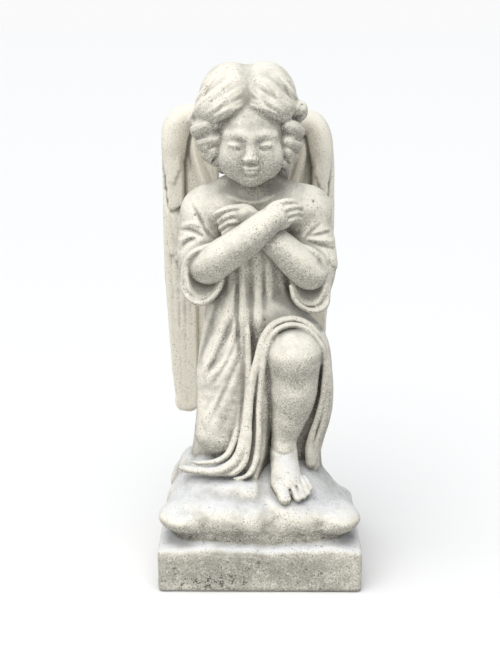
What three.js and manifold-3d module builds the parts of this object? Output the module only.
// A kneeling child angel of cast stone, 600 mm tall, poured as one piece with its rocky mound and plinth.
// It kneels on its right knee, with the left knee raised and bare, its forearms crossed over its chest,
// its head bowed and its folded wings standing behind the shoulders.
//
// Millimetres. +Z is up, +X is the viewer's right and the angel faces -Y. The origin is at the middle of
// the plinth's underside. Every form is a round-ended sweep, an ellipsoid or an extrusion; they are
// joined into one solid at the end.
import * as THREE from "three";
import { ParametricGeometry } from "three/addons/geometries/ParametricGeometry.js";
import { mergeVertices } from "three/addons/utils/BufferGeometryUtils.js";
import Module from "manifold-3d";

const wasm = await Module();
wasm.setup();

// ---------------------------------------------------------------- driving sizes
const PLINTH = { width: 236, depth: 224, height: 54, corner: 13, edge: 4 };
const MOUND_TOP = 132; // where the robe leaves the rock
const SPINE_X = -9; // the figure's middle, a little to the viewer's left of the plinth's
const SHOULDER_Z = 432;
const HEAD = { at: [SPINE_X - 1, -14, 517], width: 76, depth: 92, height: 112 };
const HAIR_TOP = 600;
const KNEE = [39, -50, 270]; // the raised knee
const ANKLE = [27, -52, 158];
const KNEELING_KNEE = [-46, -42, 158];
const WING = { root: 52, top: 542, tip: 158, reachLeft: 108, reachRight: 97 };

const STONE = new THREE.MeshStandardMaterial({ color: 0xdad5c6, roughness: 0.92, metalness: 0 });

// ---------------------------------------------------------------- solids from three.js geometry
const WEED = 0.8; // slivers left by the joins that are thinner than this are closed up

function solidFrom(geometry) {
  const bare = geometry.index ? geometry.toNonIndexed() : geometry;
  const positions = new THREE.BufferGeometry().setAttribute("position", bare.getAttribute("position"));
  const merged = mergeVertices(positions, 1e-3);
  const corners = merged.index.array;
  const kept = [];
  for (let i = 0; i < corners.length; i += 3) {
    const [a, b, c] = [corners[i], corners[i + 1], corners[i + 2]];
    if (a !== b && b !== c && c !== a) kept.push(a, b, c);
  }
  const build = (triVerts) =>
    new wasm.Manifold(
      new wasm.Mesh({
        numProp: 3,
        vertProperties: new Float32Array(merged.attributes.position.array),
        triVerts: new Uint32Array(triVerts),
      }),
    );
  const solid = build(kept);
  if (solid.volume() > 0) return solid;
  const flipped = [];
  for (let i = 0; i < kept.length; i += 3) flipped.push(kept[i], kept[i + 2], kept[i + 1]);
  return build(flipped);
}

function ellipsoid(at, radii, { turn = [0, 0, 0], detail = 2 } = {}) {
  const geometry = new THREE.IcosahedronGeometry(1, detail)
    .scale(...radii)
    .applyMatrix4(new THREE.Matrix4().makeRotationFromEuler(new THREE.Euler(...turn)))
    .translate(...at);
  return solidFrom(geometry);
}

// Catmull-Rom through a list of equal-length number rows, at t from 0 to 1.
function along(rows, t) {
  const last = rows.length - 1;
  const place = Math.min(Math.max(t, 0), 1) * last;
  const i = Math.min(Math.floor(place), last - 1);
  const f = place - i;
  const row = (k) => rows[Math.min(Math.max(k, 0), last)];
  return rows[0].map((_, n) => {
    const [p0, p1, p2, p3] = [row(i - 1)[n], row(i)[n], row(i + 1)[n], row(i + 2)[n]];
    return (
      0.5 *
      (2 * p1 +
        (p2 - p0) * f +
        (2 * p0 - 5 * p1 + 4 * p2 - p3) * f * f +
        (3 * p1 - p0 - 3 * p2 + p3) * f * f * f)
    );
  });
}

// A limb through stations [x, y, z, half-width, half-thickness]. Its width lies square to `face`, the way
// its flat side looks. Each end swells out to a tip through the given number of rings.
function limb(stations, { sides = 8, steps = 4, face = [0, -1, 0], rings = 0, ends = 0.7 } = {}) {
  const facing = new THREE.Vector3(...face).normalize();
  const place = (t) => new THREE.Vector3(...along(stations, t).slice(0, 3));
  const rows = steps + 2 * (rings + 1);
  const geometry = new ParametricGeometry(
    (u, v, target) => {
      const row = Math.round(v * rows);
      const inside = THREE.MathUtils.clamp((row - rings - 1) / steps, 0, 1);
      const beyond = Math.max(rings + 1 - row, row - rows + rings + 1, 0) / (rings + 1);
      const [, , , width, thickness] = along(stations, inside);
      const tangent = place(Math.min(inside + 0.02, 1)).sub(place(Math.max(inside - 0.02, 0))).normalize();
      const across = new THREE.Vector3().crossVectors(tangent, facing).normalize();
      const out = new THREE.Vector3().crossVectors(across, tangent).normalize();
      const shrink = Math.cos((beyond * Math.PI) / 2);
      const push = Math.sin((beyond * Math.PI) / 2) * Math.min(width, thickness) * ends * (v < 0.5 ? -1 : 1);
      const angle = u * 2 * Math.PI;
      target
        .copy(place(inside))
        .addScaledVector(tangent, push)
        .addScaledVector(across, Math.cos(angle) * width * shrink)
        .addScaledVector(out, Math.sin(angle) * thickness * shrink);
    },
    sides,
    rows,
  );
  return solidFrom(geometry);
}

// An upright body through stations [z, x, y, half-width, half-depth], whose outline is pushed out by
// swell(angle, z). Its plan is an ellipse where squareness(z) is 2 and nears a rectangle as that grows.
// Angle 0 looks along +X and 270 degrees faces the viewer.
function upright(stations, { sides, steps, swell = () => 0, squareness = () => 2 }) {
  const geometry = new ParametricGeometry(
    (u, v, target) => {
      const [z, x, y, halfWidth, halfDepth] = along(stations, v);
      const angle = u * 2 * Math.PI;
      const [c, s] = [Math.cos(angle), Math.sin(angle)];
      const power = squareness(z);
      const corner = Math.pow(Math.pow(Math.abs(c), power) + Math.pow(Math.abs(s), power), -1 / power);
      const closed = v === 0 || v === 1 ? 0 : 1;
      const grow = swell(angle, z);
      target.set(c * (halfWidth * corner + grow), s * (halfDepth * corner + grow), 0);
      target.multiplyScalar(closed).add(new THREE.Vector3(x, y, z));
    },
    sides,
    steps,
  );
  return solidFrom(geometry);
}

const joined = (pieces) => wasm.Manifold.union(pieces);

// ---------------------------------------------------------------- plinth and rocky mound
function plinth() {
  const { width, depth, height, corner, edge } = PLINTH;
  const [x, y] = [width / 2 - edge, depth / 2 - edge];
  const shape = new THREE.Shape()
    .moveTo(-x + corner, -y)
    .lineTo(x - corner, -y)
    .absarc(x - corner, -y + corner, corner, -Math.PI / 2, 0)
    .lineTo(x, y - corner)
    .absarc(x - corner, y - corner, corner, 0, Math.PI / 2)
    .lineTo(-x + corner, y)
    .absarc(-x + corner, y - corner, corner, Math.PI / 2, Math.PI)
    .lineTo(-x, -y + corner)
    .absarc(-x + corner, -y + corner, corner, Math.PI, 1.5 * Math.PI);
  const block = new THREE.ExtrudeGeometry(shape, {
    depth: height - 2 * edge,
    bevelEnabled: true,
    bevelThickness: edge,
    bevelSize: edge,
    bevelSegments: 1,
    curveSegments: 2,
  }).translate(0, 0, edge);
  return solidFrom(block);
}

function mound() {
  const foot = PLINTH.height - 8;
  const stations = [
    [foot, 0, 2, 98, 92],
    [foot + 5, 0, 2, 101, 95],
    [72, 0, 2, 109, 101],
    [88, 0, 3, 108, 99],
    [104, 0, 7, 101, 90],
    [122, -3, 16, 90, 74],
    [MOUND_TOP + 6, -6, 22, 78, 60],
    [MOUND_TOP + 14, -8, 24, 60, 44],
    [MOUND_TOP + 18, -8, 24, 20, 14],
  ];
  const squareness = (z) => 6 - 3.2 * THREE.MathUtils.smoothstep(z, 80, 130);
  // Lumps bulge round the rock between shallow gullies.
  const swell = (angle, z) => {
    const fade = THREE.MathUtils.smoothstep(z, foot, 72) * (1 - THREE.MathUtils.smoothstep(z, 100, 135));
    return (3.5 * Math.cos(7 * angle + 0.7) + 2 * Math.cos(11 * angle - z * 0.08)) * fade;
  };
  const [x, y, z] = ANKLE;
  return joined([
    upright(stations, { sides: 28, steps: 7, swell, squareness }),
    ellipsoid([x + 14, y - 8, z - 66], [44, 40, 28], { turn: [0.35, 0, 0], detail: 1 }), // under the foot
  ]);
}

// ---------------------------------------------------------------- robe
function robeBody() {
  const stations = [
    [MOUND_TOP - 40, -6, 12, 78, 58],
    [MOUND_TOP, -6, 12, 76, 56],
    [180, -5, 12, 70, 50],
    [240, -2, 12, 66, 46],
    [300, -4, 14, 60, 45],
    [345, SPINE_X, 13, 56, 44],
    [390, SPINE_X + 2, 11, 64, 44],
    [SHOULDER_Z, SPINE_X + 2, 9, 70, 39],
    [SHOULDER_Z + 18, SPINE_X + 1, 8, 54, 31],
    [SHOULDER_Z + 28, SPINE_X, 6, 26, 22],
  ];
  // Folds hang all round below the waist and die away over the chest.
  const swell = (angle, z) => {
    const fall = 1 - THREE.MathUtils.smoothstep(z, 330, 400);
    return (2.6 * Math.cos(13 * angle + 0.4) + 1.6 * Math.cos(8 * angle)) * fall;
  };
  return upright(stations, { sides: 33, steps: 8, swell });
}

function kneelingLeg() {
  const [x, y, z] = KNEELING_KNEE;
  return joined([
    limb([[-30, 0, 300, 36, 36], [x + 3, y + 6, 225, 34, 33], [x, y, z, 31, 30]], {
      sides: 12,
      steps: 4,
      rings: 1,
    }),
    limb([[x, y + 8, z - 18, 28, 26], [x - 4, 20, 134, 27, 26], [x - 2, 66, 130, 24, 20]], {
      sides: 10,
      steps: 3,
      face: [0, 0, 1],
    }),
  ]);
}

// Cloth over the raised thigh, the skirt that falls behind the bare shin, and its sides beside the leg.
function raisedThigh() {
  const [x, y, z] = KNEE;
  return joined([
    limb([[18, 18, 292, 44, 40], [x - 6, y + 36, z + 6, 42, 38], [x + 1, y + 18, z + 2, 38, 36]], {
      sides: 14,
      steps: 2,
      face: [0, 0, 1],
      rings: 1,
      ends: 0.3,
    }),
    limb([[34, 2, 262, 46, 26], [42, 0, 200, 42, 26], [36, 2, 136, 34, 28]], { sides: 10, steps: 2 }),
    limb([[66, -14, 284, 12, 26], [77, -12, 248, 9, 34], [76, -10, 195, 9, 32], [60, -8, 134, 9, 28]], {
      steps: 3,
    }),
    limb([[10, -24, 292, 10, 26], [3, -26, 248, 8, 30], [2, -28, 190, 8, 28], [6, -30, 130, 8, 26]], {
      steps: 3,
    }),
  ]);
}

// The hem that frames the bare leg: two cords side by side, up from the rock, over the knee, down again.
function hemArch() {
  const [x, y, z] = KNEE;
  const band = (spread, forward) =>
    limb(
      [
        [x - 30 - spread, -46, MOUND_TOP - 6, 5, 7],
        [x - 31 - spread, -52, 200, 5, 7],
        [x - 27 - spread, -54, 262, 5, 7],
        [x - 14 - spread / 2, y - 9 + forward, z + 26 + spread, 5, 7],
        [x + 6, y - 10 + forward, z + 36 + spread, 5, 7],
        [x + 25 + spread / 2, y - 4 + forward, z + 20 + spread, 5, 7],
        [x + 35 + spread, -38, 240, 5, 7],
        [x + 31 + spread, -32, 190, 5, 7],
        [x + 16 + spread, -30, MOUND_TOP - 8, 5, 7],
      ],
      { sides: 5, steps: 10 },
    );
  return joined([band(0, -2), band(8, 6)]);
}

// Folds that fall from the waist and swing to the left across the rock, each outside the one before.
function sweepingFolds() {
  const folds = [];
  for (let i = 0; i < 4; i += 1) {
    const low = MOUND_TOP + 6 - 7 * i;
    folds.push(
      limb(
        [
          [-22 + 8 * i, -34, 330, 3, 4],
          [-18 + 8 * i, -44, 250, 4, 6],
          [-16 + 7 * i, -54, 185, 5, 7],
          [-24 + 7 * i, -62 - i, low + 10, 5, 7],
          [-46 + 4 * i, -64 - 2 * i, low - 2, 5, 6],
          [-76 - 2 * i, -48 - 2 * i, low - 2, 4, 5],
        ],
        { sides: 5, steps: 6 },
      ),
    );
  }
  return joined(folds);
}

// Diagonal pulls of cloth from the waist over the kneeling thigh.
function thighFolds() {
  const folds = [];
  for (let i = 0; i < 3; i += 1) {
    folds.push(
      limb(
        [
          [-26 - 4 * i, -32, 318 - 12 * i, 3, 4],
          [-42 - 5 * i, -42 + 3 * i, 270 - 14 * i, 4, 5],
          [-62 - 4 * i, -36 + 9 * i, 214 - 16 * i, 4, 5],
          [-72 - i, -24 + 11 * i, 164 - 8 * i, 3, 4],
        ],
        { sides: 5, steps: 4 },
      ),
    );
  }
  return joined(folds);
}

// ---------------------------------------------------------------- bare leg and foot
function bareLeg() {
  const [kx, ky, kz] = KNEE;
  const [ax, ay, az] = ANKLE;
  const shin = limb(
    [
      [kx, ky, kz - 6, 29, 28],
      [kx, ky, kz - 36, 27, 26],
      [kx - 2, ky + 2, kz - 62, 27, 26],
      [kx - 7, ky + 1, kz - 86, 21, 21],
      [ax + 2, ay, az, 15, 16],
      [ax + 1, ay - 2, az - 20, 16, 18],
    ],
    { sides: 10, steps: 5 },
  );
  return joined([ellipsoid([kx, ky - 1, kz + 1], [31, 31, 31]), shin]);
}

function foot() {
  const [ax, ay, az] = ANKLE;
  const instep = limb(
    [
      [ax, ay + 2, az - 14, 15, 15],
      [ax + 5, ay - 14, az - 28, 17, 13],
      [ax + 12, ay - 30, az - 39, 18, 8],
    ],
    { sides: 8, steps: 2, face: [0, -0.5, 1] },
  );
  const toes = [];
  for (let i = 0; i < 5; i += 1) {
    const big = i === 0;
    const root = [ax - 2 + 7.2 * i, ay - 28 + 2.2 * i, az - 36 + 2.4 * i];
    const reach = big ? 20 : 19 - 2.2 * i;
    const thick = big ? 7 : 4.3;
    toes.push(
      limb(
        [
          [...root, thick, thick],
          [root[0] + 2.4, root[1] - reach * 0.55, root[2] - reach * 0.3, thick, thick],
          [root[0] + 4.4, root[1] - reach, root[2] - reach * 0.75, thick * 0.95, thick * 0.8],
        ],
        { sides: 6, steps: 2, face: [0, -0.5, 1] },
      ),
    );
  }
  return joined([instep, ...toes]);
}

// ---------------------------------------------------------------- arms, hands and sleeves
// The palm runs from the wrist to the knuckles; four fingers go on towards `reach`, curling back at
// their tips, side by side along `spread`, index finger first.
function hand(wrist, knuckles, reach, spread) {
  const FINGER = { radius: 4.5, pitch: 7.6, lengths: [20, 23, 22, 17] };
  const from = new THREE.Vector3(...wrist);
  const to = new THREE.Vector3(...knuckles);
  const forward = new THREE.Vector3(...reach).normalize();
  const across = new THREE.Vector3(...spread).normalize();
  const pieces = [
    limb([[...wrist, 12, 10], [...from.lerp(to, 0.55).toArray(), 16, 9], [...knuckles, 16, 8]], {
      sides: 6,
      steps: 2,
    }),
  ];
  FINGER.lengths.forEach((length, i) => {
    const rootPoint = to.clone().addScaledVector(across, (1.5 - i) * FINGER.pitch);
    const at = (share, sink) =>
      rootPoint.clone().addScaledVector(forward, length * share).add(new THREE.Vector3(0, sink, 0)).toArray();
    pieces.push(
      limb(
        [
          [...at(0, -1), FINGER.radius, FINGER.radius],
          [...at(0.6, -1), FINGER.radius, FINGER.radius],
          [...at(1, 5), FINGER.radius * 0.85, FINGER.radius * 0.85],
        ],
        { sides: 6, steps: 1 },
      ),
    );
  });
  return joined(pieces);
}

function arms() {
  const right = limb(
    [
      [-60, -34, 374, 21, 21],
      [-44, -54, 389, 20, 20],
      [-24, -60, 407, 16, 15],
      [-3, -62, 424, 12.5, 10.5],
    ],
    { steps: 4 },
  );
  const left = limb(
    [
      [60, -30, 372, 21, 21],
      [44, -40, 386, 20, 19],
      [22, -40, 404, 16, 14],
      [0, -39, 419, 12.5, 10],
    ],
    { steps: 4 },
  );
  return joined([
    right,
    left,
    hand([-3, -61, 424], [22, -50, 434], [0.93, 0.32, 0.05], [-0.2, 0.15, 1]),
    hand([-4, -39, 421], [-24, -33, 429], [-0.95, 0.2, -0.1], [0.1, 0.1, 1]),
  ]);
}

// A short wide sleeve: a bell over the upper arm, hollowed from below so that the elbow stands in it.
function sleeve(side) {
  const shoulder = side < 0 ? SPINE_X - 55 : SPINE_X + 63;
  const reach = side < 0 ? 1 : 0.85;
  const bell = limb(
    [
      [shoulder - side * 4, 5, SHOULDER_Z, 23, 24],
      [shoulder + side * 5 * reach, 2, SHOULDER_Z - 36, 28, 30],
      [shoulder + side * 5 * reach, -8, SHOULDER_Z - 74, 30, 33],
      [shoulder + side * 1 * reach, -10, SHOULDER_Z - 94, 27, 30],
    ],
    { sides: 11, steps: 4, rings: 1, ends: 0.8 },
  );
  const mouth = ellipsoid([shoulder - side * 6, -34, SHOULDER_Z - 76], [25, 26, 31], {
    turn: [-0.25, 0, side * 0.3],
  });
  return bell.subtract(mouth);
}

// ---------------------------------------------------------------- head and hair
function head() {
  const [x, y, z] = HEAD.at;
  const [halfWidth, halfDepth, halfHeight] = [HEAD.width / 2, HEAD.depth / 2, HEAD.height / 2];
  const eyeLine = z - 2;
  const faceFront = y - halfDepth;
  return joined([
    ellipsoid([x, y, z + 4], [halfWidth, halfDepth, halfHeight - 6]),
    ellipsoid([x, y - 12, z - 22], [halfWidth - 6, halfDepth - 14, 33], { detail: 1 }),
    ellipsoid([x, faceFront + 8, z - halfHeight + 11], [12, 9, 9], { detail: 1 }), // chin
    // nose
    limb([[x, faceFront + 4, eyeLine + 2, 3.5, 4], [x, faceFront - 3, eyeLine - 16, 6, 5]], {
      sides: 6,
      steps: 2,
    }),
    // mouth
    limb(
      [
        [x - 10, faceFront + 5, z - 33, 2.6, 3],
        [x, faceFront + 1, z - 32, 3.6, 4],
        [x + 10, faceFront + 5, z - 33, 2.6, 3],
      ],
      { sides: 6, steps: 2 },
    ),
    // lowered eyelids
    ...[-1, 1].map((side) =>
      ellipsoid([x + side * 17, faceFront + 8, eyeLine], [9.5, 5.5, 5.5], { detail: 1 }),
    ),
    // neck
    limb([[x, 0, SHOULDER_Z + 8, 26, 25], [x, -6, SHOULDER_Z + 30, 22, 23], [x, -10, z - 40, 22, 24]], {
      sides: 10,
      steps: 1,
    }),
  ]);
}

function hair() {
  const [x, y, z] = HEAD.at;
  const cap = [
    [HAIR_TOP, x - 3, y + 14, 22, 20],
    [HAIR_TOP - 9, x - 3, y + 14, 42, 38],
    [HAIR_TOP - 25, x - 3, y + 13, 54, 52],
    [HAIR_TOP - 46, x - 3, y + 14, 56, 57],
    [z + 18, x - 4, y + 25, 58, 49],
    [z - 10, x - 3, y + 27, 53, 45],
    [z - 34, x - 2, y + 26, 46, 40],
    [z - 56, x - 1, y + 25, 37, 33],
    [z - 68, x, y + 24, 22, 20],
  ];
  // Locks run up and down round the back and sides; the parting is a shallow dip along the top.
  const swell = (angle, height) => {
    const below = 1 - THREE.MathUtils.smoothstep(height, z + 20, HAIR_TOP - 20);
    const locks = 2.5 * Math.cos(12 * angle) * below;
    const parting = Math.pow(Math.abs(Math.sin(angle)), 12) * (angle > Math.PI ? 6 : 2);
    return locks - parting * THREE.MathUtils.smoothstep(height, z + 20, z + 50);
  };
  const pieces = [upright(cap, { sides: 24, steps: 8, swell })];
  [-1, 1].forEach((side) => {
    // The roll that sweeps from the parting over the temple.
    pieces.push(
      limb(
        [
          [x + side * 5, y - 40, z + 40, 8, 9],
          [x + side * 22, y - 39, z + 36, 9, 10],
          [x + side * 38, y - 26, z + 22, 9, 10],
          [x + side * 56, y - 4, z + 14, 10, 10],
        ],
        { sides: 6, steps: 4 },
      ),
    );
    // Curls hang in a stack from the temple to the neck, each smaller and closer in.
    for (let i = 0; i < 3; i += 1) {
      pieces.push(
        ellipsoid(
          [x + side * (51 - 8 * i), y + 4 + 2 * i, z + 2 - 18 * i],
          [18 - 2 * i, 21 - 2 * i, 11],
          { turn: [0, side * 0.35, 0], detail: 1 },
        ),
      );
    }
  });
  return joined(pieces);
}

// ---------------------------------------------------------------- wings
// A point on the folded wing: out is 0 at the spine side and 1 at the outer edge; the sheet is hollow
// towards the front and leans back as it falls.
function wingPoint(side, reach, out, z) {
  const LEAN = 0.06;
  const HOLLOW = 14;
  const hollow = HOLLOW * Math.sin(Math.PI * THREE.MathUtils.clamp(out, 0, 1));
  return [SPINE_X + side * out * reach, WING.root - 6 + LEAN * (WING.top - z) + hollow, z];
}

function wing(side) {
  const reach = side < 0 ? WING.reachLeft : WING.reachRight;
  const at = (out, z, width, thickness, forward = 0) => {
    const [x, y, height] = wingPoint(side, reach, out, z);
    return [x, y - forward, height, width, thickness];
  };
  const pieces = [
    // The inner panel, from the top of the wing down to its root in the back.
    limb(
      [
        at(0.62, WING.top - 28, 14, 7),
        at(0.55, 480, 18, 7),
        at(0.42, 430, 22, 8, 4),
        at(0.24, 380, 22, 12, 8),
        at(0.2, 330, 16, 10, 10),
      ],
      { sides: 6, steps: 4 },
    ),
    // The broad outer blade.
    limb(
      [
        at(0.74, WING.top - 24, 16, 8),
        at(0.72, 470, 27, 7),
        at(0.72, 380, 27, 7),
        at(0.76, 290, 22, 7),
        at(0.8, WING.tip + 18, 12, 7),
      ],
      { sides: 6, steps: 4, rings: 1 },
    ),
    // The arm of the wing, a thick roll along the top and outer edge.
    limb(
      [
        at(0.56, WING.top - 44, 8, 8),
        at(0.66, WING.top - 14, 12, 11, 2),
        at(0.8, WING.top - 24, 13, 12, 4),
        at(0.87, 478, 12, 11, 5),
        at(0.87, 430, 8, 6, 5),
      ],
      { sides: 6, steps: 6 },
    ),
  ];
  // Rows of feathers, each row longer and lower than the one that laps it.
  const rows = [
    { count: 3, top: 480, end: 416, half: 9.5, forward: 9, steps: 1 },
    { count: 3, top: 430, end: 348, half: 10, forward: 6, steps: 1 },
    { count: 4, top: 372, end: WING.tip, half: 8.5, forward: 2, steps: 2 },
  ];
  rows.forEach(({ count, top, end, half, forward, steps }) => {
    for (let i = 0; i < count; i += 1) {
      const out = 0.9 - (i * 0.36) / count;
      const low = end + (top - end) * 0.1 * i;
      const inward = end === WING.tip ? 0.1 - 0.04 * i : 0;
      pieces.push(
        limb(
          [
            at(out, top, half, 4, forward),
            at(out - inward * 0.3, (top + low) / 2, half, 4, forward),
            at(out - inward, low + half, half * 0.75, 3.5, forward),
          ],
          { sides: 5, steps },
        ),
      );
    }
  });
  return joined(pieces);
}

// ---------------------------------------------------------------- the casting
// Voids sealed inside the joined forms would be solid stone in a casting, so only the outer skin is kept.
function withoutVoids(solid) {
  const skins = solid.decompose();
  return skins.reduce((largest, skin) => (skin.volume() > largest.volume() ? skin : largest));
}

function meshOf(solid, name) {
  const { vertProperties, triVerts, numProp } = solid.getMesh();
  const positions = new Float32Array((vertProperties.length / numProp) * 3);
  for (let i = 0; i < positions.length / 3; i += 1) {
    positions.set(vertProperties.subarray(i * numProp, i * numProp + 3), i * 3);
  }
  const geometry = new THREE.BufferGeometry();
  geometry.setAttribute("position", new THREE.BufferAttribute(positions, 3));
  geometry.setIndex(new THREE.BufferAttribute(new Uint32Array(triVerts), 1));
  geometry.computeVertexNormals();
  const mesh = new THREE.Mesh(geometry, STONE);
  mesh.name = name;
  return mesh;
}

const angel = joined([
  plinth(),
  mound(),
  robeBody(),
  kneelingLeg(),
  raisedThigh(),
  hemArch(),
  sweepingFolds(),
  thighFolds(),
  bareLeg(),
  foot(),
  sleeve(-1),
  sleeve(1),
  arms(),
  head(),
  hair(),
  wing(-1),
  wing(1),
]);

const root = new THREE.Group();
root.add(meshOf(withoutVoids(angel.simplify(WEED)), "kneeling_angel"));
export default root;
